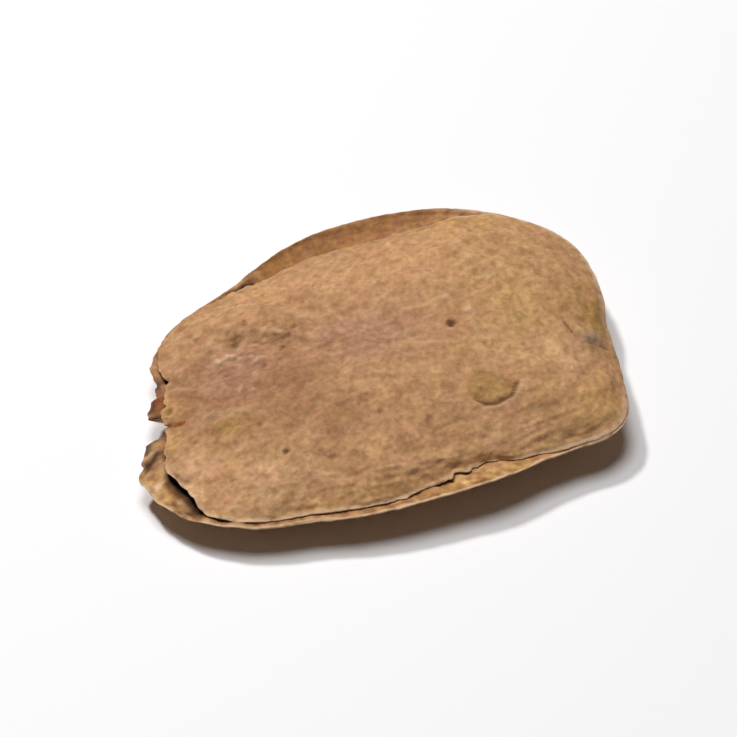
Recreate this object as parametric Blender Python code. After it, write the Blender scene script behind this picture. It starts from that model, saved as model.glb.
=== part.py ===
"""A dried flat bean lying on its belly, one solid, with its torn end towards -X.

The bean is a flat kernel grown into a dry, leathery coat. The coat has an upper and a lower face, which
meet along a fine seam round the rim. Along the back the lower face turns up behind the upper one as a
narrow flange. At the torn end the two faces part like a beak, and leave a slot between ragged lips. The
origin is at the middle of the bean's footprint, on the surface that it rests on.
"""

import math

import bmesh
import bpy
from mathutils import Vector, noise

MM = 0.001

# Driving dimensions
LENGTH = 38.0 * MM
WIDTH = 27.0 * MM
DOME = 3.25 * MM  # the upper face's rise above its own edge
BELLY = 3.55 * MM  # the lower face's drop below its own edge
COAT = 0.24 * MM  # the coat's thickness at its edge
FOOT_CUT = 0.20 * MM  # how much of the belly is flat where the bean rests
FOOT_BLEND = 0.25 * MM  # how softly the flat foot runs into the belly

# How full the faces are: the power that their rise falls with from the middle out, and the power that
# eases it
FULL_SHOULDER = (3.4, 0.82)
THIN_SHOULDER = (2.5, 1.0)
BACK_SHOULDER = (2.7, 0.95)
BELLY_SHOULDER = (2.3, 0.85)
EDGE_POWER = 3  # how close to the rim an edge's wandering is felt
LIFT_POWER = 4  # how close to the rim the gap lifts a face off the seam
CURL_POWER = 8  # how close to the rim the lower face turns up

# The rim, seen from above: shares of half the length and half the width, anticlockwise from the round end
RIM = (
    (1.005, 0.030), (0.983, 0.432), (0.779, 0.760), (0.351, 0.974), (0.020, 0.995),
    (-0.362, 0.832), (-0.720, 0.610), (-0.860, 0.240), (-0.960, -0.050), (-1.000, -0.310),
    (-0.925, -0.585), (-0.738, -0.777), (-0.416, -0.892), (0.030, -0.980), (0.436, -0.947),
    (0.604, -0.915), (0.769, -0.898), (0.874, -0.804), (0.925, -0.553), (0.960, -0.200),
)  # fmt: skip

# The lips round the rim: the angle in degrees anticlockwise from +X, then, in millimetres, how far the
# upper and the lower lip stand back from the rim, the gap between the two, how deep that gap runs in, and
# how far the lower lip turns up
LIPS = (
    (20, 0.15, 0.0, 0.08, 0.25, 0.00),
    (36, 0.25, 0.0, 0.08, 0.25, 0.05),
    (44, 0.72, 0.0, 0.08, 0.25, 0.22),
    (52, 1.62, 0.0, 0.08, 0.30, 0.45),
    (66, 2.02, 0.0, 0.08, 0.30, 0.60),
    (84, 1.86, 0.0, 0.08, 0.30, 0.60),
    (98, 1.55, 0.0, 0.08, 0.30, 0.55),
    (110, 1.28, 0.0, 0.12, 0.45, 0.48),
    (121, 0.78, 0.0, 0.20, 0.60, 0.34),
    (134, 0.30, 0.0, 0.10, 0.30, 0.05),
    (150, 0.20, 0.0, 0.10, 0.40, 0.00),
    (157, 0.40, 0.1, 0.30, 1.50, 0.00),
    (164, 0.95, 0.4, 0.45, 2.80, 0.00),
    (170, 1.20, 0.2, 0.55, 3.60, 0.05),
    (175, 1.30, 0.0, 0.60, 4.00, 0.10),
    (178.5, 1.60, 1.9, 0.62, 4.10, 0.00),
    (182, 1.90, 0.1, 0.65, 4.20, 0.10),
    (188, 1.85, -0.3, 0.75, 4.20, 0.20),
    (194, 1.65, -0.3, 0.90, 4.20, 0.15),
    (200, 1.80, -0.1, 1.00, 4.00, 0.10),
    (206, 1.00, 0.0, 0.80, 3.20, 0.10),
    (212, 0.45, 0.0, 0.40, 1.60, 0.05),
    (219, 0.50, 0.0, 0.14, 0.50, 0.00),
    (238, 0.60, 0.0, 0.10, 0.40, 0.00),
    (250, 0.70, 0.0, 0.10, 0.40, 0.15),
    (262, 0.90, 0.0, 0.10, 0.50, 0.30),
    (272, 1.20, 0.0, 0.14, 0.60, 0.40),
    (284, 1.75, 0.0, 0.18, 0.70, 0.50),
    (295, 1.80, 0.0, 0.14, 0.60, 0.45),
    (303, 0.95, 0.0, 0.08, 0.30, 0.20),
    (311, 0.25, 0.0, 0.08, 0.25, 0.00),
    (330, 0.15, 0.0, 0.08, 0.25, 0.00),
)

# Stretches of the rim, as their middle, half length and softness in degrees
TORN_END = (184.0, 34.0, 10.0)
THIN_SIDE = (232.0, 88.0, 60.0)  # where the upper face slopes gently to its edge, and has no full shoulder
BACK_SIDE = (84.0, 48.0, 24.0)  # where it slopes down to the flange
RAG = 0.22 * MM  # how ragged the torn lips are
TEETH = 9.0  # how closely the teeth of the torn lips follow each other

SEAM_HEIGHT = 3.2 * MM
END_RISE = 0.7 * MM  # how much higher the seam is at the round end, and lower at the torn one
TWIST = 0.35 * MM  # how far the seam's corners stand above and below a plane

# Swellings and hollows of the two faces: place, reach along X and Y, and height, all in millimetres
UPPER_RELIEF = (
    (-5.0, 1.5, 7.0, 4.2, -0.34),
    (6.0, 6.5, 6.0, 3.4, 0.14),
    (8.5, -6.5, 5.0, 3.0, 0.12),
    (-11.5, -5.0, 4.0, 3.4, 0.18),
    (13.5, 0.5, 3.0, 5.0, -0.10),
)
LOWER_RELIEF = (
    (-7.0, 5.0, 5.0, 3.4, 0.22),
    (9.0, 5.5, 5.0, 3.4, 0.18),
    (11.0, -6.0, 4.0, 3.4, 0.14),
)

# Mesh resolution: spokes round the bean, and rings along its section from the top to the foot
SPOKES = 144
CROWDING = 0.5  # how much closer the spokes stand at the torn end
UPPER_RINGS = 12
LIP_RINGS = 3
SLOT_RINGS = 4
LOWER_RINGS = 11
RING_CROWDING = 1.25  # how much closer the faces' rings stand at the rim
RINGS = UPPER_RINGS + LIP_RINGS + 2 * SLOT_RINGS + LIP_RINGS + LOWER_RINGS

COAT_COLOUR = (0.42, 0.235, 0.118, 1.0)
COAT_ROUGHNESS = 0.82


def mix(a, b, share):
    return a + (b - a) * share


def smooth(share):
    """An S-shaped step from 0 to 1."""
    share = min(1.0, max(0.0, share))
    return share * share * (3.0 - 2.0 * share)


def stretch(angle, middle, half_length, softness):
    """1 along a stretch of the rim, 0 away from it, with soft ends. Angles are in degrees."""
    away = abs((angle - middle + 180.0) % 360.0 - 180.0)
    return 1.0 - smooth((away - half_length + softness / 2) / softness)


def rim_radius(angle):
    """The rim's distance from the middle at an angle in degrees, on a smooth closed curve through RIM."""
    points = [Vector((x * LENGTH / 2, y * WIDTH / 2)) for x, y in RIM]
    angles = [math.degrees(math.atan2(p.y, p.x)) % 360.0 for p in points]
    first = angles.index(min(angles))
    points = points[first:] + points[:first]
    angles = angles[first:] + angles[:first]
    count = len(points)
    here = angle % 360.0
    after = next((i for i, a in enumerate(angles) if a > here), count)
    at = [(i // count) * 360.0 + angles[i % count] for i in range(after - 2, after + 2)]
    radii = [points[i % count].length for i in range(after - 2, after + 2)]
    share = (here - at[1]) / (at[2] - at[1])
    rise_1 = (radii[2] - radii[0]) / (at[2] - at[0]) * (at[2] - at[1])
    rise_2 = (radii[3] - radii[1]) / (at[3] - at[1]) * (at[2] - at[1])
    cubed, squared = share**3, share**2
    return (
        (2 * cubed - 3 * squared + 1) * radii[1]
        + (cubed - 2 * squared + share) * rise_1
        + (3 * squared - 2 * cubed) * radii[2]
        + (cubed - squared) * rise_2
    )


def lips_at(angle):
    """The five measures of LIPS at an angle in degrees, eased from one row to the next."""
    rows = [(LIPS[-1][0] - 360.0, *LIPS[-1][1:]), *LIPS, (LIPS[0][0] + 360.0, *LIPS[0][1:])]
    here = angle % 360.0
    after = next(i for i, row in enumerate(rows) if row[0] > here)
    before_row, after_row = rows[after - 1], rows[after]
    share = smooth((here - before_row[0]) / (after_row[0] - before_row[0]))
    return [mix(a, b, share) * MM for a, b in zip(before_row[1:], after_row[1:])]


def rag(angle, row):
    """The torn lip's raggedness, from -1 to 1."""
    turn = math.radians(angle)
    place = Vector((math.cos(turn), math.sin(turn), 0.0)) * TEETH
    return 1.6 * noise.noise(place + Vector((0.0, 0.0, row)))


class Spoke:
    """The bean's section along one ray from its middle: where the two lips are, and the slot between."""

    def __init__(self, angle):
        turn = math.radians(angle)
        torn = stretch(angle, *TORN_END)
        upper_back, lower_back, self.gap, depth, self.curl = lips_at(angle)
        self.ray = Vector((math.cos(turn), math.sin(turn)))
        self.rim = rim_radius(angle)
        self.upper_edge = self.rim - upper_back + torn * RAG * rag(angle, 8.2)
        self.lower_edge = self.rim - lower_back + torn * RAG * rag(angle, 3.7)
        self.slot_end = self.upper_edge - depth
        thin, back = stretch(angle, *THIN_SIDE), stretch(angle, *BACK_SIDE)
        shoulders = zip(FULL_SHOULDER, BACK_SHOULDER, THIN_SHOULDER)
        self.shoulder = [mix(mix(full, sloping, back), slight, thin) for full, sloping, slight in shoulders]


def seam_height(x, y):
    """The height of the surface between the two faces, which is tilted and a little twisted."""
    along, across = 2 * x / LENGTH, 2 * y / WIDTH
    return SEAM_HEIGHT + END_RISE * along + TWIST * along * across


def relief(x, y, features):
    total = 0.0
    for middle_x, middle_y, reach_x, reach_y, height in features:
        away = ((x / MM - middle_x) / reach_x) ** 2 + ((y / MM - middle_y) / reach_y) ** 2
        total += height * MM * math.exp(-away)
    return total


def out_to(spoke, edge, share):
    """A distance from the middle at share 0 to an edge at share 1.

    Only the outer part feels how the edge wanders.
    """
    return share * spoke.rim + (edge - COAT / 2 - spoke.rim) * share**EDGE_POWER


def upper_face(spoke, share):
    """A point on the upper face, from its middle at share 0 to its edge at share 1."""
    x, y = spoke.ray * out_to(spoke, spoke.upper_edge, share)
    edge = (spoke.gap / 2 + COAT) * share**LIFT_POWER
    power, ease = spoke.shoulder
    rise = DOME * (1.0 - share**power) ** ease + relief(x, y, UPPER_RELIEF) * (1.0 - share**LIFT_POWER)
    return x, y, seam_height(x, y) + edge + rise


def upper_lip(spoke, share):
    """A point round the upper face's edge, from above at share 0 to below at share 1."""
    turn = math.pi * (0.5 - share)
    radius = spoke.upper_edge + COAT / 2 * (math.cos(turn) - 1.0)
    x, y = spoke.ray * radius
    return x, y, seam_height(x, y) + spoke.gap / 2 + COAT / 2 * (1.0 + math.sin(turn))


def slot_roof(spoke, share):
    """A point under the upper face, from its lip at share 0 to the slot's end at share 1."""
    radius = mix(spoke.upper_edge - COAT / 2, spoke.slot_end, share)
    x, y = spoke.ray * radius
    return x, y, seam_height(x, y) + spoke.gap / 2 * (1.0 - share**2)


def slot_floor(spoke, share):
    """A point on the lower face's inside, from the slot's end at share 0 to its lip at share 1."""
    radius = mix(spoke.slot_end, spoke.lower_edge - COAT / 2, share)
    x, y = spoke.ray * radius
    drop = spoke.gap / 2 * smooth(2 * share)
    return x, y, seam_height(x, y) - drop + spoke.curl * share**3


def lower_lip(spoke, share):
    """A point round the lower face's edge, from above at share 0 to below at share 1."""
    turn = math.pi * (0.5 - share)
    radius = spoke.lower_edge + COAT / 2 * (math.cos(turn) - 1.0)
    x, y = spoke.ray * radius
    return x, y, seam_height(x, y) - spoke.gap / 2 + spoke.curl - COAT / 2 * (1.0 - math.sin(turn))


def lower_face(spoke, share):
    """A point on the belly, from its edge at share 0 to its middle at share 1."""
    out = 1.0 - share
    x, y = spoke.ray * out_to(spoke, spoke.lower_edge, out)
    edge = (spoke.gap / 2 + COAT) * out**LIFT_POWER - spoke.curl * out**CURL_POWER
    power, ease = BELLY_SHOULDER
    drop = BELLY * (1.0 - out**power) ** ease - relief(x, y, LOWER_RELIEF) * (1.0 - out**LIFT_POWER)
    return x, y, seam_height(x, y) - edge - drop


def on_section(spoke, ring):
    """The point where a ring of the mesh crosses a spoke."""
    parts = (
        (upper_face, UPPER_RINGS, lambda share: 1.0 - (1.0 - share) ** RING_CROWDING),
        (upper_lip, LIP_RINGS, lambda share: share),
        (slot_roof, SLOT_RINGS, lambda share: share),
        (slot_floor, SLOT_RINGS, lambda share: share),
        (lower_lip, LIP_RINGS, lambda share: share),
        (lower_face, LOWER_RINGS, lambda share: share**RING_CROWDING),
    )
    for part, rings, spacing in parts:
        if ring <= rings:
            return part(spoke, spacing(ring / rings))
        ring -= rings


def flatten_foot(mesh):
    """Makes the belly's lowest part flat at z = 0, and eases the rest of the belly down to it."""
    level = min(vert.co.z for vert in mesh.verts) + FOOT_CUT
    for vert in mesh.verts:
        height = max(0.0, vert.co.z - level)
        vert.co.z = height * height / (height + FOOT_BLEND)


def fit_footprint(mesh):
    """Brings the footprint to LENGTH by WIDTH, with its middle over the origin."""
    for axis, size in ((0, LENGTH), (1, WIDTH)):
        places = [vert.co[axis] for vert in mesh.verts]
        low, high = min(places), max(places)
        for vert in mesh.verts:
            vert.co[axis] = (vert.co[axis] - (low + high) / 2) * size / (high - low)


def bean_mesh():
    """A sphere whose rings and spokes are moved onto the bean's sections."""
    mesh = bmesh.new()
    bmesh.ops.create_uvsphere(mesh, u_segments=SPOKES, v_segments=RINGS, radius=1.0)
    crowd_at = math.radians(TORN_END[0])
    spokes = []
    for i in range(SPOKES):
        turn = 2 * math.pi * i / SPOKES
        spokes.append(Spoke(math.degrees(turn - CROWDING * math.sin(turn - crowd_at))))
    for vert in mesh.verts:
        ring = round(math.acos(max(-1.0, min(1.0, vert.co.z))) / math.pi * RINGS)
        turn = math.atan2(vert.co.y, vert.co.x)
        spoke = spokes[round(turn / (2 * math.pi) * SPOKES) % SPOKES]
        vert.co = on_section(spoke, ring)
    flatten_foot(mesh)
    fit_footprint(mesh)
    bmesh.ops.recalc_face_normals(mesh, faces=mesh.faces)
    return mesh


def coat_material():
    material = bpy.data.materials.new("dry_coat")
    material.use_nodes = True
    shader = material.node_tree.nodes["Principled BSDF"]
    shader.inputs["Base Color"].default_value = COAT_COLOUR
    shader.inputs["Roughness"].default_value = COAT_ROUGHNESS
    shader.inputs["Metallic"].default_value = 0.0
    return material


def main():
    for obj in list(bpy.data.objects):
        bpy.data.objects.remove(obj)
    collection = bpy.data.collections.new("dried_bean")
    bpy.context.scene.collection.children.link(collection)
    mesh = bean_mesh()
    data = bpy.data.meshes.new("bean")
    mesh.to_mesh(data)
    mesh.free()
    data.shade_smooth()
    data.materials.append(coat_material())
    collection.objects.link(bpy.data.objects.new("bean", data))


main()
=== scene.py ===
"""A dried flat bean, leathery and torn open at one end, lying on a pale table in soft light."""

import math

import bpy
import numpy as np
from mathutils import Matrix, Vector, noise


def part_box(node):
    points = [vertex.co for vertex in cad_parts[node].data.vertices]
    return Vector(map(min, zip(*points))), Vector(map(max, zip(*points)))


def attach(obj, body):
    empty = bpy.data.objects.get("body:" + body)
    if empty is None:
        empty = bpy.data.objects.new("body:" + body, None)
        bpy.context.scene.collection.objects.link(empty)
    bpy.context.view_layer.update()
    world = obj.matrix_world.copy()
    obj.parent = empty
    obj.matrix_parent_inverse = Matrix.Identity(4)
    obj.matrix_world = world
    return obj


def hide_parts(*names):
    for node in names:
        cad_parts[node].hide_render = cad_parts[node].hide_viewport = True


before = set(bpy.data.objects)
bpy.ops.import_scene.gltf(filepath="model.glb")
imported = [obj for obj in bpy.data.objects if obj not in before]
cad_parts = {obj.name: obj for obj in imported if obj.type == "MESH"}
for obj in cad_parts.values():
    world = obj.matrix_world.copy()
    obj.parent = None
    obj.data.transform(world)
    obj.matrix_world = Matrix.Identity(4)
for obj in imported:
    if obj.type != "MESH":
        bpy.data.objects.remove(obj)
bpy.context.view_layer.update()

# ---------------------------------------------------------------------------------------------------------
# The bean. One seed: a flat kernel grown into a dry, leathery coat, domed above and below. The two faces of
# the coat meet along a seam round the rim. Along the back the lower one turns up behind the upper one, in
# front they have slipped apart a little, and at the torn end they gape like a beak with ragged lips.

MM = 0.001
lowest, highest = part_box("bean")
LENGTH = highest[0] - lowest[0]
WIDTH = highest[1] - lowest[1]

DOME = 3.25 * MM  # the upper face's rise above its own edge
BELLY = 3.55 * MM  # the lower face's drop below its own edge
COAT = 0.15 * MM  # the coat's thickness at its edge
TORN_COAT = 0.10 * MM  # the same at the torn end, where it is papery
FOOT_CUT = 0.30 * MM  # how much of the belly is flat where the bean rests
FOOT_BLEND = 0.25 * MM
SEAM_HEIGHT = 3.2 * MM
END_RISE = 0.7 * MM  # how much higher the seam is at the round end, and lower at the torn one
TWIST = 0.35 * MM

# The rim, seen from above: shares of half the length and half the width, anticlockwise from the round end
RIM = (
    (1.005, 0.030), (0.983, 0.432), (0.779, 0.760), (0.351, 0.974), (0.020, 0.995),
    (-0.362, 0.832), (-0.720, 0.610), (-0.860, 0.240), (-0.960, -0.050), (-1.000, -0.310),
    (-0.925, -0.585), (-0.738, -0.777), (-0.416, -0.892), (0.030, -0.980), (0.436, -0.947),
    (0.604, -0.915), (0.769, -0.898), (0.874, -0.804), (0.925, -0.553), (0.960, -0.200),
)  # fmt: skip

# The lips round the rim: the angle in degrees anticlockwise from +X, then, in millimetres, how far the
# upper and the lower lip stand back from the rim, the gap between the two, how deep that gap runs in, and
# how far the lower lip turns up
LIPS = (
    (20, 0.10, 0.00, 0.01, 0.12, 0.00),
    (36, 0.20, 0.00, 0.02, 0.15, 0.05),
    (44, 0.72, 0.00, 0.03, 0.20, 0.22),
    (52, 1.62, 0.00, 0.04, 0.25, 0.45),
    (66, 2.02, 0.00, 0.05, 0.25, 0.60),
    (84, 1.86, 0.00, 0.05, 0.30, 0.60),
    (98, 1.55, 0.00, 0.06, 0.35, 0.55),
    (110, 1.28, 0.00, 0.10, 0.45, 0.48),
    (116, 1.05, 0.00, 0.24, 0.90, 0.42),
    (120, 0.80, 0.00, 0.36, 1.10, 0.36),
    (125, 0.52, 0.00, 0.30, 1.00, 0.26),
    (129, 0.35, 0.00, 0.10, 0.50, 0.12),
    (134, 0.25, 0.00, 0.03, 0.25, 0.03),
    (150, 0.20, 0.00, 0.05, 0.40, 0.00),
    (157, 0.40, 0.10, 0.25, 1.50, 0.00),
    (164, 0.95, 0.45, 0.40, 2.80, 0.00),
    (170, 1.20, 0.30, 0.50, 3.60, 0.05),
    (174.2, 1.20, 0.15, 0.55, 4.00, 0.10),
    (175.4, 1.35, 1.30, 0.55, 4.00, 0.05),
    (177.6, 1.50, 2.30, 0.55, 4.00, 0.00),
    (179.7, 1.65, 2.20, 0.55, 4.10, 0.00),
    (181.8, 1.90, 0.20, 0.60, 4.20, 0.10),
    (188, 1.85, -0.30, 0.60, 4.20, 0.12),
    (193, 1.60, -0.30, 0.65, 4.20, 0.10),
    (196.5, 1.85, -0.20, 0.75, 4.10, 0.05),
    (200, 1.80, -0.10, 0.75, 4.00, 0.10),
    (203, 1.50, 0.00, 0.65, 3.60, 0.10),
    (206.5, 0.95, 0.00, 0.45, 2.60, 0.08),
    (209, 0.66, 0.00, 0.20, 1.40, 0.06),
    (212, 0.48, 0.00, 0.14, 0.90, 0.05),
    (219, 0.54, 0.00, 0.07, 0.50, 0.00),
    (230, 0.60, 0.00, 0.05, 0.35, 0.00),
    (238, 0.60, 0.00, 0.06, 0.35, 0.00),
    (246, 0.70, 0.00, 0.07, 0.40, 0.10),
    (261, 0.82, 0.00, 0.06, 0.45, 0.25),
    (266.5, 1.10, 0.00, 0.08, 0.55, 0.35),
    (275.5, 1.15, 0.00, 0.14, 0.70, 0.42),
    (279.5, 1.35, 0.00, 0.24, 0.90, 0.46),
    (284, 1.75, 0.00, 0.22, 0.85, 0.50),
    (294, 1.82, 0.00, 0.06, 0.45, 0.45),
    (298, 1.65, 0.00, 0.04, 0.30, 0.36),
    (304, 0.95, 0.00, 0.03, 0.20, 0.20),
    (313, 0.25, 0.00, 0.01, 0.12, 0.00),
    (330, 0.10, 0.00, 0.01, 0.12, 0.00),
)

# Stretches of the rim, as their middle, half length and softness in degrees
TORN_END = (184.0, 34.0, 10.0)
THIN_SIDE = (232.0, 88.0, 60.0)  # where the upper face slopes gently to its edge, and has no full shoulder
BACK_SIDE = (84.0, 48.0, 24.0)  # where it slopes down to the flange
BACK_TEAR = (121.0, 8.0, 14.0)  # where it has no shoulder, at the left end of the flange
RAGGED = (171.0, 23.0, 8.0)  # the part of the torn end whose lips are ragged
HIGHLIT_LIPS = ((262.0, 70.0, 14.0), (22.0, 24.0, 12.0))  # where the lips get a pale painted highlight
SPLIT_FRONT = (280.0, 24.0, 14.0)  # where the seam has cracked open along the front
SPLIT_BACK = (121.0, 9.0, 8.0)  # and at the left end of the flange
FRONT_SEAM = (262.0, 52.0, 12.0)  # where the seam shows as a thin, broken line
DARK_CRACKS = ((282.0, 5.0, 5.0), (119.5, 5.0, 4.0))  # where the painted shade in the cracks is at its darkest
GAPING = (200.5, 7.0, 5.0)  # where one looks deep into the slot
# How full the upper face is: the power that its rise falls with from the middle out, and the power that
# eases it
FULL_SHOULDER, BACK_SHOULDER, THIN_SHOULDER, TORN_SHOULDER = (3.4, 0.82), (2.7, 0.95), (2.5, 1.0), (1.9, 1.0)
BELLY_SHOULDER = (2.3, 0.85)  # the same for the lower face
RAG = 0.22 * MM  # how ragged the torn lips are
TEETH = 9.0  # how many teeth of the rag a turn of one radian holds
UPPER_FRAY, LOWER_FRAY = (0.03, 0.08), (0.02, 0.10)  # the lips' finer rag in mm, in general and where ragged
CRACK_FRAY, CRACK_WANDER = 0.13, 0.20  # the same along the cracks, in mm: its fine part and its coarse part
TORN_LIFT, CRACK_LIFT = 0.20, 0.05  # how far the lips bend up and down in mm, at the torn end and the cracks
# Splits in the two lips: the angle and the half width in degrees, and the depth in mm
NICKS = ((163.4, 0.8, 0.35), (172.6, 0.7, 0.35), (179.4, 0.5, 0.70), (188.5, 0.8, 0.25))
LOWER_NICKS = ((167.5, 0.8, 0.25), (187.6, 0.7, 0.30))

# Swellings and hollows of the two faces: place, reach along X and Y, and height, all in millimetres
UPPER_RELIEF = (
    (-5.0, 1.5, 7.0, 4.2, -0.34),
    (6.0, 6.5, 6.0, 3.4, 0.14),
    (8.5, -6.5, 5.0, 3.0, 0.12),
    (-11.5, -5.0, 4.0, 3.4, 0.18),
    (13.5, 0.5, 3.0, 5.0, -0.10),
)
LOWER_RELIEF = (
    (-7.0, 5.0, 5.0, 3.4, 0.22),
    (9.0, 5.5, 5.0, 3.4, 0.18),
    (11.0, -6.0, 4.0, 3.4, 0.14),
)

# The mesh: spokes round the bean, closer together at the torn end, and rings along its section from the
# top to the foot
SPOKES = 512
CROWDING = 0.5
UPPER_RINGS = 122
LIP_RINGS = 7
ROOF_RINGS = 8
FLOOR_RINGS = 12
LOWER_RINGS = 38
RINGS = UPPER_RINGS + LIP_RINGS + ROOF_RINGS + FLOOR_RINGS + LIP_RINGS + LOWER_RINGS


def mix(a, b, share):
    """a at share 0, b at share 1."""
    return a + (b - a) * share


def smooth(share):
    """An S-shaped step from 0 to 1."""
    share = np.clip(share, 0.0, 1.0)
    return share * share * (3.0 - 2.0 * share)


def stretch(angles, middle, half_length, softness):
    """1 along a stretch of the rim, 0 away from it, with soft ends. Angles are in degrees."""
    away = np.abs((angles - middle + 180.0) % 360.0 - 180.0)
    return 1.0 - smooth((away - half_length + softness / 2) / softness)


def rim_radius(angle):
    """The rim's distance from the middle at an angle in degrees, on a smooth closed curve through RIM."""
    points = [Vector((x * LENGTH / 2, y * WIDTH / 2)) for x, y in RIM]
    angles = [math.degrees(math.atan2(p.y, p.x)) % 360.0 for p in points]
    first = angles.index(min(angles))
    points = points[first:] + points[:first]
    angles = angles[first:] + angles[:first]
    count = len(points)
    after = next((i for i, a in enumerate(angles) if a > angle % 360.0), count)
    at = [(i // count) * 360.0 + angles[i % count] for i in range(after - 2, after + 2)]
    radii = [points[i % count].length for i in range(after - 2, after + 2)]
    share = (angle % 360.0 - at[1]) / (at[2] - at[1])
    rise_1 = (radii[2] - radii[0]) / (at[2] - at[0]) * (at[2] - at[1])
    rise_2 = (radii[3] - radii[1]) / (at[3] - at[1]) * (at[2] - at[1])
    cubed, squared = share**3, share**2
    return (
        (2 * cubed - 3 * squared + 1) * radii[1]
        + (cubed - 2 * squared + share) * rise_1
        + (3 * squared - 2 * cubed) * radii[2]
        + (cubed - squared) * rise_2
    )


def lips_at(angle):
    """The five measures of LIPS at an angle in degrees, eased from one row to the next."""
    rows = [(LIPS[-1][0] - 360.0, *LIPS[-1][1:]), *LIPS, (LIPS[0][0] + 360.0, *LIPS[0][1:])]
    after = next(i for i, row in enumerate(rows) if row[0] > angle % 360.0)
    before_row, after_row = rows[after - 1], rows[after]
    share = float(smooth((angle % 360.0 - before_row[0]) / (after_row[0] - before_row[0])))
    return [mix(a, b, share) * MM for a, b in zip(before_row[1:], after_row[1:])]


def grain(points, size, row=0.0):
    """Smooth noise from about -1 to 1, with lumps of about the given size. Each row is another pattern."""
    shift = Vector((0.0, 0.0, row))
    return 1.6 * np.array([noise.noise(Vector(point) / size + shift) for point in points])


def nicks(angles, cuts):
    """How deep the splits in a lip run in at each angle."""
    return sum(depth * MM * np.exp(-(((angles - at) / half) ** 2)) for at, half, depth in cuts)


turns = 2 * math.pi * np.arange(SPOKES) / SPOKES
turns = turns - CROWDING * np.sin(turns - math.radians(TORN_END[0]))
angles = np.degrees(turns) % 360.0
rays = np.stack([np.cos(turns), np.sin(turns)], 1)
round_rim = np.column_stack([rays, np.zeros(SPOKES)])
rim = np.array([rim_radius(angle) for angle in angles])
upper_back, lower_back, gap, depth, curl = np.array([lips_at(angle) for angle in angles]).T
torn = stretch(angles, *TORN_END)
ragged = stretch(angles, *RAGGED)
thin = stretch(angles, *THIN_SIDE)
split = np.maximum(stretch(angles, *SPLIT_FRONT), stretch(angles, *SPLIT_BACK))
shoulder = np.array(FULL_SHOULDER)[:, None]
for slope, where in (
    (BACK_SHOULDER, stretch(angles, *BACK_SIDE)),
    (THIN_SHOULDER, thin),
    (TORN_SHOULDER, np.maximum(torn, stretch(angles, *BACK_TEAR))),
):
    shoulder = mix(shoulder, np.array(slope)[:, None], where)
coat = mix(COAT, TORN_COAT, torn) * (1.0 + 0.18 * grain(round_rim, 0.08, 5.0))

upper_sweep = rim - upper_back + ragged * RAG * grain(round_rim, 1 / TEETH, 8.2)
lower_sweep = rim - lower_back + ragged * RAG * grain(round_rim, 1 / TEETH, 3.7)
fine = MM * np.maximum(mix(*UPPER_FRAY, ragged), CRACK_FRAY * split)
upper_edge = upper_sweep + fine * (grain(round_rim, 0.055, 1.3) + 0.8 * grain(round_rim, 0.024, 2.1))
upper_edge = upper_edge + CRACK_WANDER * MM * split * grain(round_rim, 0.16, 4.4)
upper_edge = upper_edge - nicks(angles, NICKS)
fine = MM * mix(*LOWER_FRAY, ragged)
lower_edge = lower_sweep + fine * (grain(round_rim, 0.050, 6.3) + 0.7 * grain(round_rim, 0.020, 7.7))
lower_edge = lower_edge - nicks(angles, LOWER_NICKS)
slot_end = upper_sweep - depth
gap = gap * (1.0 + 0.6 * split * grain(round_rim, 0.09, 7.1))
lift = MM * (torn * TORN_LIFT + CRACK_LIFT * split)
upper_lift = lift * grain(round_rim, 0.08, 9.4)
lower_lift = lift * grain(round_rim, 0.07, 2.9)


def seam_height(x, y):
    """The height of the surface between the two faces, which is tilted and a little twisted."""
    along, across = 2 * x / LENGTH, 2 * y / WIDTH
    return SEAM_HEIGHT + END_RISE * along + TWIST * along * across


def relief(x, y, features):
    """The height of soft swellings and hollows at each place."""
    total = 0.0
    for middle_x, middle_y, reach_x, reach_y, height in features:
        away = ((x / MM - middle_x) / reach_x) ** 2 + ((y / MM - middle_y) / reach_y) ** 2
        total = total + height * MM * np.exp(-away)
    return total


def ring_at(radius, height):
    """One ring of points, at a distance from the middle and a height above the seam for each spoke."""
    x, y = (rays * radius[:, None]).T
    return np.stack([x, y, seam_height(x, y) + height], 1)


# How close to the lips the faces start to follow them: powers of the share of the way out
SWEEP_POWER, RAG_POWER, EDGE_POWER, LIFT_POWER, CURL_POWER = 3, 36, 4, 14, 8


def out_to(edge, sweep, share):
    """Distances from the middle at share 0 to a lip at share 1. Its fine rag is felt only close to it."""
    return share * rim + (sweep - coat / 2 - rim) * share**SWEEP_POWER + (edge - sweep) * share**RAG_POWER


def upper_face(share):
    radius = out_to(upper_edge, upper_sweep, share)
    x, y = (rays * radius[:, None]).T
    edge = (gap / 2 + coat) * share**EDGE_POWER + upper_lift * share**LIFT_POWER
    rise = DOME * (1.0 - share ** shoulder[0]) ** shoulder[1]
    rise = rise + relief(x, y, UPPER_RELIEF) * (1.0 - share**EDGE_POWER)
    return ring_at(radius, edge + rise)


def upper_lip(share):
    turn = math.pi * (0.5 - share)
    radius = upper_edge + coat / 2 * (math.cos(turn) - 1.0)
    return ring_at(radius, gap / 2 + upper_lift + coat / 2 * (1.0 + math.sin(turn)))


def slot_roof(share):
    radius = mix(upper_edge - coat / 2, slot_end, share)
    return ring_at(radius, (gap / 2) * (1.0 - share**2) + upper_lift * (1.0 - share) ** 2)


def slot_floor(share):
    radius = mix(slot_end, lower_edge - coat / 2, share)
    return ring_at(radius, -gap / 2 * smooth(2 * share) + curl * share**3 + lower_lift * share**2)


def lower_lip(share):
    turn = math.pi * (0.5 - share)
    radius = lower_edge + coat / 2 * (math.cos(turn) - 1.0)
    return ring_at(radius, lower_lift - gap / 2 + curl - coat / 2 * (1.0 - math.sin(turn)))


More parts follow.
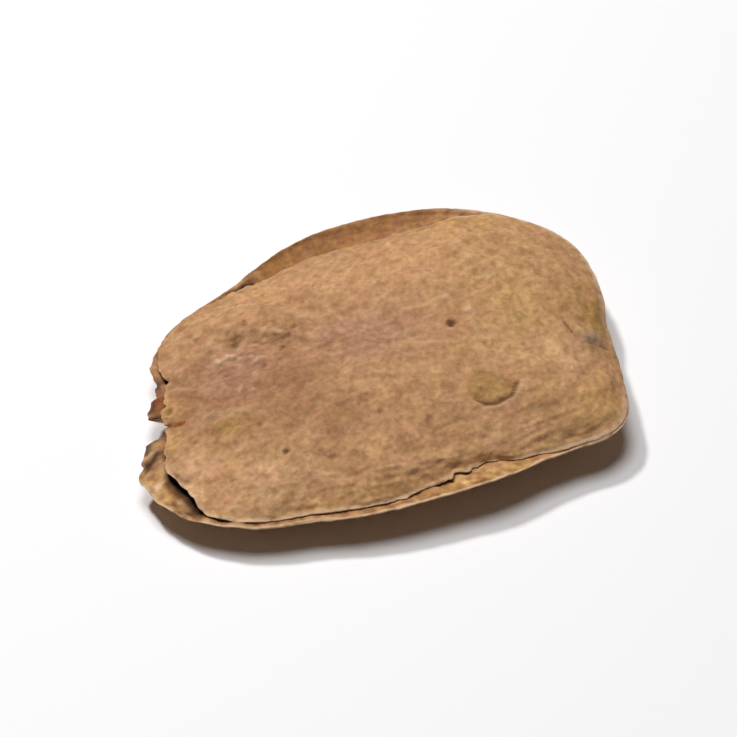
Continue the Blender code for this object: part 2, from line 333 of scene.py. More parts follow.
def lower_face(share):
    out = 1.0 - share
    radius = out_to(lower_edge, lower_sweep, out)
    x, y = (rays * radius[:, None]).T
    edge = (gap / 2 + coat) * out**EDGE_POWER - curl * out**CURL_POWER - lower_lift * out**LIFT_POWER
    drop = BELLY * (1.0 - out ** BELLY_SHOULDER[0]) ** BELLY_SHOULDER[1]
    drop = drop - relief(x, y, LOWER_RELIEF) * (1.0 - out**EDGE_POWER)
    return ring_at(radius, -edge - drop)


# Each part of the section, from the top to the foot: its rings, and how they are spaced
SECTION = (
    (upper_face, UPPER_RINGS, lambda share: 1.0 - (1.0 - share) ** 1.6),
    (upper_lip, LIP_RINGS, lambda share: share),
    (slot_roof, ROOF_RINGS, lambda share: share**1.3),
    (slot_floor, FLOOR_RINGS, lambda share: 1.0 - (1.0 - share) ** 1.3),
    (lower_lip, LIP_RINGS, lambda share: share),
    (lower_face, LOWER_RINGS, lambda share: share**1.6),
)
rows, on_upper, on_lower, on_lip, on_floor, on_inside, in_slot = [], [], [], [], [], [], []
for part, rings, spacing in SECTION:
    for ring in range(rings + (part is lower_face)):
        share = spacing(ring / rings)
        rows.append(part(share))
        edge_near = {upper_face: share, lower_face: 1.0 - share}.get(part, 0.0)
        on_upper.append(float(part is upper_face) * (1.0 - smooth((share - 0.97) / 0.03)))
        on_lower.append(float(part is lower_face) * smooth(share / 0.05))
        on_lip.append(1.0 if part in (upper_lip, lower_lip) else smooth((edge_near - 0.975) / 0.025))
        on_floor.append(float(part is slot_floor) * smooth(share * 4) * smooth((1.0 - share) * 12))
        on_inside.append({slot_floor: smooth(share * 4), lower_lip: 1.0}.get(part, 0.0))
        in_slot.append(part in (slot_roof, slot_floor))
grid = np.array(rows)

bpy.ops.object.select_all(action="DESELECT")
bpy.ops.mesh.primitive_uv_sphere_add(segments=SPOKES, ring_count=RINGS, radius=1.0)
bean = bpy.context.object
bean.name = bean.data.name = "bean_coat"
count = len(bean.data.vertices)
ball = np.empty(count * 3)
bean.data.vertices.foreach_get("co", ball)
ball = ball.reshape(-1, 3)
ring_of = np.rint(np.arccos(np.clip(ball[:, 2], -1.0, 1.0)) / math.pi * RINGS).astype(int)
spoke_of = np.rint(np.arctan2(ball[:, 1], ball[:, 0]) / (2 * math.pi) * SPOKES).astype(int) % SPOKES
place = grid[ring_of, spoke_of]
upper, lower = np.array(on_upper)[ring_of], np.array(on_lower)[ring_of]
lip, floor = np.array(on_lip)[ring_of], np.array(on_floor)[ring_of]
inside, slot = np.array(on_inside)[ring_of], np.array(in_slot)[ring_of]
under_lip = (upper_edge[spoke_of] - np.hypot(place[:, 0], place[:, 1])) / MM
gaping = stretch(angles, *GAPING)[spoke_of]
front_crack, back_crack = (stretch(angles, *where)[spoke_of] for where in DARK_CRACKS)
# Painted shade deep in the slot, darkest where one looks in and along the cracks
deep_shade = slot * smooth((under_lip + 0.05 + 0.55 * gaping + 0.15 * front_crack + 0.66 * back_crack) / 0.6)


def normals(mesh, points):
    """Puts the mesh's points in place, and gives the way its surface faces at each."""
    mesh.vertices.foreach_set("co", points.ravel())
    mesh.update()
    facing = np.empty(len(points) * 3, dtype=np.float32)
    mesh.vertices.foreach_get("normal", facing)
    return facing.reshape(-1, 3).astype(float)


# The skin of the two faces. All of its places and sizes are in millimetres.
# Pits and bumps: the place, the reach along X and Y, and how deep or high they are
PITS = (
    (6.5, -0.5, 0.40, 0.30, 0.26), (-8.9, -6.5, 0.36, 0.22, 0.22), (-1.4, -6.2, 0.28, 0.22, 0.13),
    (9.3, 6.0, 0.34, 0.18, 0.10), (8.8, 8.8, 0.24, 0.20, 0.09), (11.3, 8.4, 0.30, 0.22, 0.12),
    (8.5, 2.6, 0.28, 0.18, 0.10), (9.6, 2.5, 0.24, 0.18, 0.09), (4.8, 3.6, 0.24, 0.18, 0.09),
    (7.0, 2.8, 0.40, 0.15, 0.07), (15.1, -0.6, 0.26, 0.20, 0.10), (-14.8, -2.7, 0.28, 0.18, 0.13),
    (-13.4, -3.6, 0.24, 0.18, 0.11), (-10.0, -3.8, 0.26, 0.20, 0.10), (-5.0, -10.6, 0.50, 0.18, 0.08),
    (-12.2, -9.2, 0.30, 0.24, 0.09), (-5.9, -8.2, 0.44, 0.16, 0.07), (12.0, -7.1, 0.45, 0.26, 0.08),
    (11.7, -11.6, 0.36, 0.20, 0.10), (-6.3, 5.1, 0.36, 0.22, 0.10), (-4.6, 3.7, 0.36, 0.22, 0.12),
    (-9.2, 4.3, 0.38, 0.28, 0.09), (-9.9, 2.6, 0.36, 0.20, 0.09), (-8.9, 2.7, 0.24, 0.24, 0.07),
    (-7.8, 1.7, 0.32, 0.26, 0.08), (-8.9, 0.0, 0.26, 0.34, 0.06), (-10.8, 2.6, 0.32, 0.24, 0.06),
    (-6.4, -0.8, 0.38, 0.26, 0.06), (-10.0, -0.2, 0.32, 0.24, 0.06), (-12.1, 2.1, 0.28, 0.22, 0.06),
    (-7.8, 6.6, 0.22, 0.16, 0.12), (-7.6, 7.9, 0.24, 0.16, 0.12), (-7.8, 5.8, 0.22, 0.18, 0.13),
    (-1.8, 7.2, 0.18, 0.16, 0.12), (-6.0, 2.4, 0.28, 0.18, 0.12), (-7.3, 4.7, 0.26, 0.16, 0.10),
    (-5.3, 3.2, 0.26, 0.18, 0.12), (-5.8, 5.0, 0.24, 0.16, 0.11), (-9.0, 4.9, 0.30, 0.16, 0.10),
)  # fmt: skip
BUMPS = (
    (-10.6, 3.5, 0.30, 0.30, 0.22), (-9.8, 3.6, 0.34, 0.22, 0.22), (-6.6, 4.4, 0.28, 0.24, 0.15),
    (-8.1, 2.4, 0.36, 0.26, 0.14), (-9.1, -0.5, 0.28, 0.22, 0.12), (-8.6, 0.9, 0.28, 0.24, 0.11),
    (-7.3, 7.6, 0.38, 0.32, 0.18), (-6.3, 7.6, 0.36, 0.26, 0.12), (-4.8, 7.2, 0.34, 0.26, 0.11),
    (-3.6, 4.7, 0.36, 0.30, 0.14), (-5.8, 3.9, 0.26, 0.20, 0.15), (-9.0, 6.1, 0.32, 0.26, 0.10),
    (-12.6, 7.4, 0.34, 0.26, 0.10), (-10.7, 5.5, 0.34, 0.26, 0.10), (8.1, 0.4, 0.36, 0.30, 0.16),
    (6.9, 2.0, 0.28, 0.26, 0.11), (9.8, 4.1, 0.28, 0.26, 0.10), (10.7, 2.7, 0.26, 0.24, 0.10),
    (11.1, -1.6, 0.30, 0.22, 0.09), (12.8, -10.0, 0.26, 0.22, 0.10), (14.2, -10.0, 0.26, 0.22, 0.09),
    (6.1, -1.2, 0.34, 0.20, 0.11), (9.2, -5.3, 0.36, 0.26, 0.10), (-5.2, -2.0, 0.36, 0.22, 0.07),
    (-9.2, 3.2, 0.20, 0.20, 0.14), (-8.3, 2.9, 0.18, 0.18, 0.13), (-7.6, 2.3, 0.18, 0.18, 0.13),
    (-5.7, 9.6, 0.20, 0.20, 0.13), (-3.9, 9.7, 0.20, 0.20, 0.13), (-3.8, 8.2, 0.22, 0.20, 0.14),
    (-7.0, 3.6, 0.20, 0.18, 0.14), (-11.4, 6.6, 0.20, 0.20, 0.12), (-10.1, 0.3, 0.20, 0.20, 0.12),
)  # fmt: skip
# Creases and ridges: their course, half width and height
CREASES = (
    (((8.1, 0.4), (8.0, -1.1), (8.2, -2.3), (8.6, -3.2), (9.0, -4.4)), 0.24, 0.10),
    (((7.6, -1.2), (8.0, -2.8), (8.4, -3.5), (9.1, -4.3), (9.7, -4.6)), 0.20, -0.13),
    (((8.5, -5.6), (9.0, -6.0), (9.6, -6.1)), 0.20, -0.09),
    (((14.7, -2.4), (14.9, -2.8), (15.0, -3.3), (15.3, -3.9), (15.7, -4.3), (16.1, -4.5), (17.3, -4.9)),
     0.15, -0.20),
    (((15.5, -3.2), (16.1, -3.9), (17.0, -4.2)), 0.22, 0.12),
    (((16.0, -5.2), (16.6, -5.5), (17.1, -5.9)), 0.20, -0.10),
    (((-4.4, -10.6), (-2.0, -10.9), (0.0, -10.9), (1.7, -10.8)), 0.22, -0.07),
    (((-3.4, -10.2), (-0.6, -10.4), (2.2, -10.2), (4.4, -10.4)), 0.26, 0.06),
    (((-6.4, -9.5), (-4.7, -9.9), (-2.9, -9.8), (0.0, -9.6)), 0.22, -0.06),
    (((-11.8, 4.6), (-10.6, 4.5), (-9.9, 4.5), (-8.8, 4.5), (-7.7, 4.9), (-7.0, 5.2)), 0.22, -0.08),
    (((-11.0, 3.9), (-9.0, 4.0), (-8.0, 4.3)), 0.26, 0.05),
    (((-15.0, 3.5), (-14.0, 2.8), (-12.9, 1.9), (-12.0, 1.4)), 0.26, 0.12),
    (((-15.3, 3.0), (-14.2, 2.2), (-13.2, 1.3)), 0.22, -0.10),
    (((-14.6, -1.3), (-12.6, -1.0), (-11.3, -1.4), (-9.4, -2.8)), 0.30, 0.09),
    (((-15.6, -2.9), (-12.9, -3.1), (-10.5, -2.4), (-8.0, -2.7)), 0.30, -0.07),
    (((-15.4, -4.8), (-13.0, -5.1), (-11.0, -4.9)), 0.30, 0.06),
    (((12.9, -5.8), (14.9, -6.6), (16.2, -7.6)), 0.24, 0.07),
    (((12.7, -7.2), (14.7, -8.2), (15.5, -9.3)), 0.24, 0.06),
    (((12.8, -6.5), (14.6, -7.3), (15.9, -8.5)), 0.22, -0.06),
    (((11.9, -8.2), (13.8, -9.2)), 0.24, 0.05),
    (((-5.9, -2.3), (-5.4, -2.7), (-4.5, -2.9)), 0.18, -0.07),
)
SLIT = ((-16.4, 0.45), (-15.8, 0.12), (-15.2, -0.15), (-14.8, -0.20))
SLIT_WIDTH = 0.14
EAR = (-15.45, 1.15)  # a small round blister beside the slit
EAR_RADIUS, EAR_RIM = 0.45, 0.17
# The scar is an oval that is cut off straight: a point of the cut, and the way that it faces. Its lower side
# has a lip and a rim, each at a share of the way to the oval's edge, with a half width
SCAR_MIDDLE, SCAR_REACH = (7.3, -6.6), (2.0, 1.55)
SCAR_CHORD, SCAR_FACING = (8.1, -6.2), (0.66, 0.75)
SCAR_HALF_WIDTH = 1.8
SCAR_LIP, SCAR_RIM = (0.96, 0.16), (1.12, 0.13)
CRUMPLE_MIDDLE, CRUMPLE_REACH = (-7.6, 3.6), (4.2, 2.8)  # a patch of small lumps
PUCKERS_FROM, PUCKERS_OVER = -9.5, 6.0  # where the torn end's pleats begin, and how far they take to grow
# How far the coat's fibres spread across at a few places along the bean, and how long they are
SPREAD_ALONG = (-19.0, -15.0, -5.0, 5.0, 14.0, 19.0)
SPREAD = (6.5, 9.0, 12.0, 13.5, 12.5, 8.0)
MIDDLE_SPREAD = 13.0
FIBRE_LENGTH = 9.0


def off_path(x, y, path):
    """The distance from a line through a few points."""
    nearest = np.full(len(x), 1e3)
    for (ax, ay), (bx, by) in zip(path, path[1:]):
        length = (bx - ax) ** 2 + (by - ay) ** 2
        share = np.clip(((x - ax) * (bx - ax) + (y - ay) * (by - ay)) / length, 0.0, 1.0)
        nearest = np.minimum(nearest, np.hypot(x - mix(ax, bx, share), y - mix(ay, by, share)))
    return nearest


def pebbled(points):
    """Small rounded swellings, 1 at their tops and 0 in the furrows between them."""
    nearest = np.array([noise.voronoi(Vector(point))[0][:2] for point in points])
    return smooth((nearest[:, 1] - nearest[:, 0]) * 1.5)


def spots(x, y, features):
    """Oval spots with flat middles and steep sides."""
    total = 0.0
    for middle_x, middle_y, reach_x, reach_y, height in features:
        away = ((x - middle_x) / reach_x) ** 2 + ((y - middle_y) / reach_y) ** 2
        total = total + height * np.exp(-(away**1.5))
    return total


facing = normals(bean.data, place)
x, y = place[:, 0] / MM, place[:, 1] / MM
out = np.hypot(x, y) * MM / rim[spoke_of]
spread = np.interp(x, SPREAD_ALONG, SPREAD)
fibre = np.stack([x / FIBRE_LENGTH, y / spread * MIDDLE_SPREAD, place[:, 2] / MM], 1)
flat = np.stack([x, y, np.zeros(count)], 1)
round_about = np.stack([out * 16.0, *(rays[spoke_of].T * 2.2)], 1)  # fast from the middle out, slow round it
# Places with a waver, which the marks and stains are drawn in
wx = x + 0.15 * grain(flat, 1.0, 3.0) + 0.05 * grain(flat, 0.32, 5.0)
wy = y + 0.15 * grain(flat, 1.0, 33.0) + 0.05 * grain(flat, 0.32, 35.0)

crumpled = np.exp(
    -(((x - CRUMPLE_MIDDLE[0]) / CRUMPLE_REACH[0]) ** 2) - ((y - CRUMPLE_MIDDLE[1]) / CRUMPLE_REACH[1]) ** 2
)
puckered = smooth((PUCKERS_FROM - x) / PUCKERS_OVER)
ringed = smooth((out - 0.45) / 0.35) * (1.0 - 0.7 * puckered) * (0.45 + 0.55 * smooth((x - 5.0) / 6.0))
pebbles = pebbled(np.stack([0.85 * x + 0.4 * y, 1.2 * y - 0.3 * x, 0 * x], 1) / 0.70)
pleats = grain(np.stack([x * 0.25, y / spread * 9.0, x * 0], 1), 0.9, 21.0)
crepe = np.exp(-((grain(np.stack([x * 0.7, y * 1.3, 0 * x], 1), 1.1, 95.0) / 0.10) ** 2))
crepe *= smooth(0.5 + grain(flat, 2.6, 97.0)) * (1.0 - crumpled)
skin = 0.15 * grain(flat, 5.5, 40.0) + 0.10 * grain(flat, 1.9, 50.0) + 0.060 * grain(flat, 0.85, 60.0)
skin += 0.030 * grain(flat, 0.42, 80.0) + 0.030 * grain(fibre, 0.9, 70.0) * (1.0 - 0.6 * crumpled)
skin += 0.08 * ringed * grain(round_about, 0.8, 25.0) + 0.040 * ringed * grain(round_about, 0.35, 27.0)
skin += 0.13 * crumpled * (pebbles - 0.5) + 0.10 * puckered * pleats + 0.022 * crepe

scar_oval = np.hypot((wx - SCAR_MIDDLE[0]) / SCAR_REACH[0], (wy - SCAR_MIDDLE[1]) / SCAR_REACH[1])
scar_past_chord = (wx - SCAR_CHORD[0]) * SCAR_FACING[0] + (wy - SCAR_CHORD[1]) * SCAR_FACING[1]
scar_off = np.maximum((scar_oval - 1.0) * 1.9, scar_past_chord)
scar = 1.0 - smooth((scar_off + 0.15) / 0.25)
scar_low = smooth((SCAR_MIDDLE[1] + 0.3 - wy + 0.25 * (wx - SCAR_MIDDLE[0])) / 1.4)
scar_end = 1.0 - smooth((scar_past_chord + 0.1) / 0.5)
scar_lip, scar_rim = (
    np.exp(-(((scar_oval - at) * SCAR_HALF_WIDTH / half_width) ** 2)) * scar_end * scar_low
    for at, half_width in (SCAR_LIP, SCAR_RIM)
)
marks = spots(wx, wy, BUMPS) - spots(wx, wy, PITS) - 0.05 * scar - 0.10 * scar_lip + 0.06 * scar_rim
# Painted shade in the scar's lip, the pits, the furrows between the lumps and the creases, and painted
# highlights on the bumps, the scar's rim, the lumps' tops and the ridges
crease_shade = 1.3 * scar_lip + 3.0 * spots(wx, wy, PITS) + 0.25 * crumpled * smooth(1.0 - 3.0 * pebbles)
painted_highlight = 2.0 * spots(wx, wy, BUMPS) + 0.7 * scar_rim + 0.30 * crumpled * smooth(3.0 * pebbles - 2.0)
for path, width, height in CREASES:
    line = np.exp(-((off_path(wx, wy, path) / width) ** 2)) * (0.75 + 0.5 * grain(flat, 1.2, 90.0))
    marks += height * line
    crease_shade += np.maximum(-5.0 * height * line, 0.0)
    painted_highlight += np.maximum(4.0 * height * line, 0.0)
painted_highlight += 0.22 * crepe
slit = np.exp(-((off_path(x, y, SLIT) / SLIT_WIDTH) ** 2))
ear_off = np.hypot(wx - EAR[0], wy - EAR[1])
ear = np.exp(-(((ear_off - EAR_RADIUS) / EAR_RIM) ** 2))
marks += 0.14 * ear - 0.22 * slit - 0.05 * np.exp(-((ear_off / 0.3) ** 2))
crease_shade += 0.45 * slit
painted_highlight += 0.25 * ear

belly_skin = 0.14 * grain(flat, 4.2, 140.0) + 0.08 * grain(flat, 1.6, 150.0)
belly_skin += 0.045 * grain(flat, 0.8, 160.0)
belly_skin += 0.03 * grain(fibre, 0.8, 170.0) + 0.09 * puckered * pleats
belly_skin += 0.06 * ringed * grain(round_about, 0.8, 125.0)
strands = grain(np.stack([out * 60.0, *(rays[spoke_of].T * 5.0)], 1), 0.9, 23.0)
floor_skin = 0.05 * grain(place / MM, 0.9, 17.0) + 0.03 * grain(place / MM, 0.4, 19.0) + 0.06 * strands
rough_edge = 0.016 * grain(place / MM, 0.5, 11.0) + 0.010 * grain(place / MM, 0.22, 13.0)
stand_out = upper * (skin + marks) + lower * belly_skin + floor * floor_skin + lip * rough_edge
place = place + facing * (stand_out * MM)[:, None]

# The foot is flat at the table, and the rest of the belly eases down to it. The footprint fills the frame's.
level = place[:, 2].min() + FOOT_CUT
height = np.maximum(0.0, place[:, 2] - level)
place[:, 2] = height * height / (height + FOOT_BLEND)
for axis, size in ((0, LENGTH), (1, WIDTH)):
    low, high = place[:, axis].min(), place[:, axis].max()
    place[:, axis] = (place[:, axis] - (low + high) / 2) * size / (high - low)
facing = normals(bean.data, place)

# The stains of the coat: its own colour, and the patches that it turns to in places, each with its place,
# its reach along X and Y in millimetres, and how far it turns
TAN = (0.450, 0.245, 0.114)
SAND = (0.550, 0.325, 0.164)
PEACH = (0.560, 0.305, 0.150)
MAUVE = (0.385, 0.198, 0.133)
OCHRE = (0.475, 0.280, 0.112)
OLIVE = (0.315, 0.182, 0.046)
GREY = (0.230, 0.150, 0.105)
UMBER = (0.290, 0.138, 0.066)
GOLD = (0.520, 0.295, 0.100)
RUST = (0.135, 0.026, 0.007)
DRAB = (0.190, 0.115, 0.066)
# The next two colours are painted shade: a brown one in the slot, also used for a fine line along cracked
# lips, and a near black one deeper in and in the torn end's folds
INSIDE_AND_SLOT_SHADE = (0.150, 0.060, 0.018)
DEEP_SHADE = (0.020, 0.007, 0.004)
EMBER = (0.330, 0.110, 0.015)
BRICK = (0.300, 0.075, 0.020)
# Painted shade along the torn end's folds
FOLD_SHADE = (0.045, 0.018, 0.007)
BARK = (0.310, 0.142, 0.042)
# A cream patch colour, also a painted highlight on the fold ridges and a painted lift on the front slope
CREAM_AND_HIGHLIGHT = (0.680, 0.440, 0.260)
UPPER_STAINS = (
    (0.5, 0.8, 4.2, 2.6, MAUVE, 0.70),
    (-2.5, 2.4, 1.2, 1.0, MAUVE, 0.60),
    (-10.0, 2.0, 3.6, 2.8, MAUVE, 0.80),
    (-10.0, 0.4, 5.0, 3.6, UMBER, 0.30),
    (-2.4, -8.6, 4.0, 1.8, PEACH, 0.35),
    (-6.9, -0.9, 3.2, 2.2, UMBER, 0.90),
    (-4.7, -5.0, 2.8, 1.7, UMBER, 0.62),
    (-12.5, -1.0, 3.0, 2.4, UMBER, 0.25),
    (-5.3, 4.2, 2.2, 1.7, UMBER, 0.40),
    (-14.4, 1.6, 2.0, 2.2, UMBER, 0.70),
    (5.6, 7.1, 4.6, 2.6, PEACH, 0.55),
    (-4.0, 8.0, 4.0, 1.8, PEACH, 0.40),
    (-13.6, 6.0, 2.0, 1.4, PEACH, 0.30),
    (11.3, 9.8, 3.6, 1.8, GOLD, 0.50),
    (12.0, 0.0, 2.8, 4.6, OCHRE, 0.75),
    (13.4, -5.0, 2.6, 2.0, SAND, 0.70),
    (17.5, -2.2, 1.3, 3.0, OLIVE, 0.90),
    (18.4, -3.4, 0.9, 3.2, BARK, 0.40),
    (16.0, -8.6, 1.6, 1.8, BARK, 0.30),
    (14.3, -10.2, 2.0, 1.4, TAN, 0.70),
    # This cream patch and the peach one at (7.0, -11.0) are painted light: they lift the shade on the slope
    # down to the front lip
    (7.3, -11.4, 2.6, 1.3, CREAM_AND_HIGHLIGHT, 0.60),
    (-16.0, -5.6, 1.4, 2.0, CREAM_AND_HIGHLIGHT, 0.55),
    (14.4, -9.6, 2.6, 2.0, GOLD, 0.45),
    (7.0, -11.0, 3.0, 1.6, PEACH, 0.45),
    (-11.0, -8.4, 4.6, 2.4, SAND, 0.70),
    (-15.2, -6.8, 2.4, 2.6, PEACH, 0.95),
    (-12.0, -2.8, 1.8, 1.0, OLIVE, 0.55),
    (6.0, -11.6, 6.0, 0.9, GOLD, 0.45),
    (-7.0, -11.2, 5.0, 0.8, GOLD, 0.40),
    (16.2, -4.3, 0.9, 0.7, GREY, 0.90),
    (-15.45, 1.15, 0.85, 0.75, GOLD, 0.85),
    (-15.45, 1.15, 0.30, 0.30, OLIVE, 1.00),
    (-7.9, 10.6, 0.5, 0.35, GOLD, 0.80),
    (-16.4, -1.7, 0.5, 1.2, GOLD, 0.60),
    (-16.0, 4.0, 0.8, 2.0, GOLD, 0.35),
)
FLOOR_STAINS = (
    (-15.9, 2.9, 1.3, 1.8, RUST, 1.00),
    (-15.8, 2.7, 0.7, 0.8, BRICK, 0.85),
    (-17.6, -1.0, 1.3, 1.1, DRAB, 1.00),
    (-16.9, -1.0, 0.6, 0.5, GOLD, 0.80),
    (-18.4, -3.4, 1.2, 1.0, OCHRE, 0.90),
    (-17.8, -5.6, 1.2, 1.2, GOLD, 0.90),
    (-17.2, -7.8, 1.4, 1.2, GOLD, 0.80),
    (3.0, -12.6, 9.0, 1.2, GOLD, 0.85),
    # The brown along the back is partly the flange's own colour and partly painted shade in its groove
    (2.0, 12.5, 9.0, 2.4, BARK, 0.95),
    (-4.0, 11.5, 3.5, 1.8, BARK, 0.80),
)
# Folds and edges of the lower face where it shows: their course and half width, their colour and its share.
# The dark ones are painted shade in the folds and under the upper lip, the cream ones painted highlights on
# the folds' ridges
FOLDS = (
    (((-15.1, 4.8), (-15.3, 4.4)), 0.25, DEEP_SHADE, 0.95),
    (((-15.6, 4.1), (-16.0, 3.2), (-16.5, 2.4)), 0.26, FOLD_SHADE, 0.80),
    (((-17.1, 1.7), (-16.6, 1.6), (-16.1, 1.5)), 0.17, DEEP_SHADE, 0.95),
    (((-17.0, -0.3), (-17.6, -0.4), (-18.0, -0.9), (-18.2, -1.5)), 0.20, FOLD_SHADE, 0.85),
    (((-17.4, -1.2), (-17.9, -1.6), (-18.4, -1.9)), 0.14, CREAM_AND_HIGHLIGHT, 0.70),
    (((-17.3, -1.6), (-17.9, -2.1), (-18.5, -2.7)), 0.22, FOLD_SHADE, 0.95),
    (((-17.7, -4.3), (-18.2, -4.5), (-18.6, -4.8)), 0.18, CREAM_AND_HIGHLIGHT, 0.90),
    (((-17.4, -6.0), (-17.1, -7.0), (-16.5, -7.9)), 0.12, CREAM_AND_HIGHLIGHT, 0.65),
    (((-17.8, -6.4), (-17.5, -7.2), (-17.0, -7.9), (-16.3, -8.5)), 0.14, FOLD_SHADE, 0.80),
)
GROOVE_FROM_LIP, GROOVE_WIDTH = 0.45, 0.11  # a fine line along the lower lip where it is cracked


def stained(colours, stains, face):
    """The colours of a face after its stains."""
    for middle_x, middle_y, reach_x, reach_y, colour, turned in stains:
        away = ((wx - middle_x) / reach_x) ** 2 + ((wy - middle_y) / reach_y) ** 2
        share = (face * turned * np.exp(-away))[:, None]
        colours = mix(colours, np.array(colour), share)
    return colours


lip_light = np.maximum(*(stretch(angles, *where) for where in HIGHLIT_LIPS))[spoke_of]
stains_and_shade = np.tile(TAN, (count, 1))
stains_and_shade = stained(stains_and_shade, UPPER_STAINS, upper)
stains_and_shade = stained(stains_and_shade, FLOOR_STAINS, inside)
patches = grain(place / MM, 0.55, 51.0) + 0.5 * strands
stains_and_shade = mix(stains_and_shade, np.array(UMBER), (inside * smooth(0.3 + 0.9 * patches) * 0.80)[:, None])
cracked = inside * split[spoke_of]
stains_and_shade = mix(stains_and_shade, np.array(CREAM_AND_HIGHLIGHT), (cracked * smooth(-0.2 - 1.0 * patches) * 0.60)[:, None])
from_lip = (lower_edge[spoke_of] - np.hypot(x, y) * MM) / MM
groove = np.exp(-(((from_lip - GROOVE_FROM_LIP) / GROOVE_WIDTH) ** 2))
groove *= smooth(0.6 + 1.5 * grain(round_rim, 0.09, 61.0)[spoke_of])
stains_and_shade = mix(stains_and_shade, np.array(INSIDE_AND_SLOT_SHADE), (cracked * groove * 0.75)[:, None])
for path, width, fold_colour, share in FOLDS:
    line = np.exp(-((off_path(wx, wy, path) / width) ** 2)) * share
    stains_and_shade = mix(stains_and_shade, np.array(fold_colour), (inside * line)[:, None])
stains_and_shade = mix(stains_and_shade, np.array(EMBER), (upper * np.clip(1.4 * slit, 0.0, 1.0))[:, None])
stains_and_shade = mix(stains_and_shade, np.array(OLIVE), (upper * scar * 0.50)[:, None])
# Painted shade in the slot and the cracks, broken into dashes along the seam: brown under the upper lip,
# near black deeper in
dashes = smooth(0.4 + 1.5 * grain(round_rim, 0.11, 6.6)[spoke_of])
along_seam = np.maximum(split, stretch(angles, *FRONT_SEAM))[spoke_of]
broken = 1.0 - along_seam * (1.0 - np.maximum(front_crack, back_crack)) * mix(0.65, 1.0, dashes)
deep_shade = deep_shade * broken
shaded = slot * smooth((under_lip + 0.20 + 0.75 * gaping + 0.30 * back_crack) / 0.5) * mix(0.45, 1.0, broken)
stains_and_shade = mix(stains_and_shade, np.array(INSIDE_AND_SLOT_SHADE), shaded[:, None])
stains_and_shade = mix(stains_and_shade, np.array(DEEP_SHADE), deep_shade[:, None])
# The coat's colour holds its stains, and also painted shade in the slot and folds and painted light in a few
# places
attribute = bean.data.attributes.new("stains_and_shade", "FLOAT_COLOR", "POINT")
attribute.data.foreach_set("color", np.column_stack([stains_and_shade, np.ones(count)]).astype(np.float32).ravel())

# What else the finish reads: the painted highlight on the lips, the painted shade in creases, pits and
# furrows, the painted highlight on what stands proud, the grain, along which the coat's fibres run, and
# places on the upper face in millimetres
pale = np.maximum(lip, 0.9 * inside * smooth(1.3 - from_lip / 0.26)) * (0.10 + 0.90 * lip_light)
for name, values in (("lip", pale), ("crease_shade", crease_shade * upper), ("painted_highlight", painted_highlight * upper)):
    attribute = bean.data.attributes.new(name, "FLOAT", "POINT")
    attribute.data.foreach_set("value", np.clip(values, 0.0, 1.5).astype(np.float32))
for name, values in (("grain", fibre * MM), ("over_face", np.stack([wx, wy, 9.0 * (1.0 - upper)], 1))):
    attribute = bean.data.attributes.new(name, "FLOAT_VECTOR", "POINT")
    attribute.data.foreach_set("vector", values.astype(np.float32).ravel())
bean.data.shade_smooth()


class Value:
    """A socket of a material's nodes. Python's operators on it add Math nodes."""

    def __init__(self, finish, socket):
        self.finish, self.socket = finish, socket

    def math(self, operation, first, second=0.0):
        return self.finish.node("ShaderNodeMath", {"operation": operation}, {0: first, 1: second})

    def __add__(self, other):
        return self.math("ADD", self, other)

    __radd__ = __add__

    def __sub__(self, other):
        return self.math("SUBTRACT", self, other)

    def __rsub__(self, other):
        return self.math("SUBTRACT", other, self)

    def __mul__(self, other):
        return self.math("MULTIPLY", self, other)

    __rmul__ = __mul__


